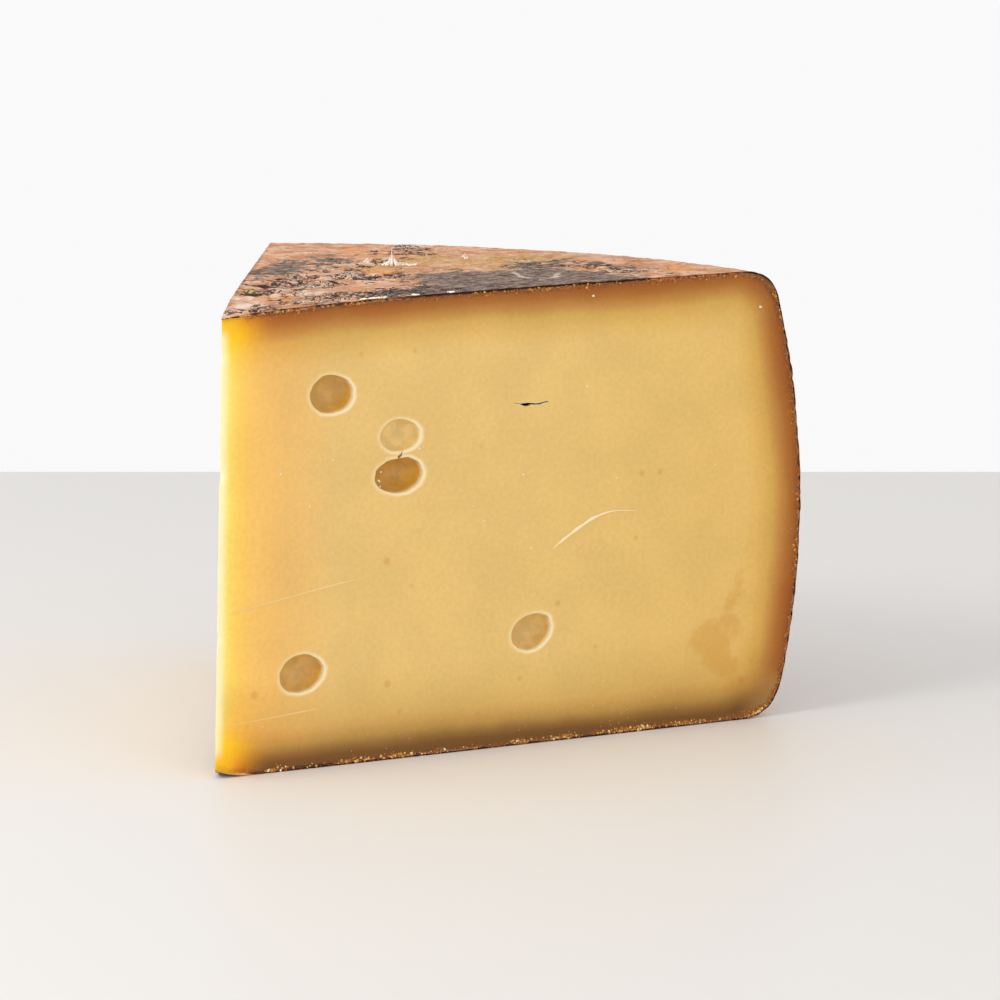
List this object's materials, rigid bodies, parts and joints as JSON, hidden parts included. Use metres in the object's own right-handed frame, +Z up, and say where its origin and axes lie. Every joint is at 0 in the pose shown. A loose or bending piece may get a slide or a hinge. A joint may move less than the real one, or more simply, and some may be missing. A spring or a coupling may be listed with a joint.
{
  "type": "cheese wedge",
  "caption": "Wedge cut from a small round washed-rind cheese, with flat knife-cut faces, round eyes and a wrinkled brown rind; it stands on its flat underside.",
  "frame": {"origin": "middle of the bounding box's bottom face, on the surface the wedge stands on", "axes": "+Z up; +X along the front cut face, from the sharp edge to the rind; -Y straight out of the front cut face"},
  "size_m": [0.1428, 0.1232, 0.1006],
  "materials": {
    "cheese": "satin, slightly oily cut paste, with a dry wrinkled brown rind"
  },
  "bodies": {
    "root": {"cheese_wedge": "cheese"}
  },
  "joints": []
}
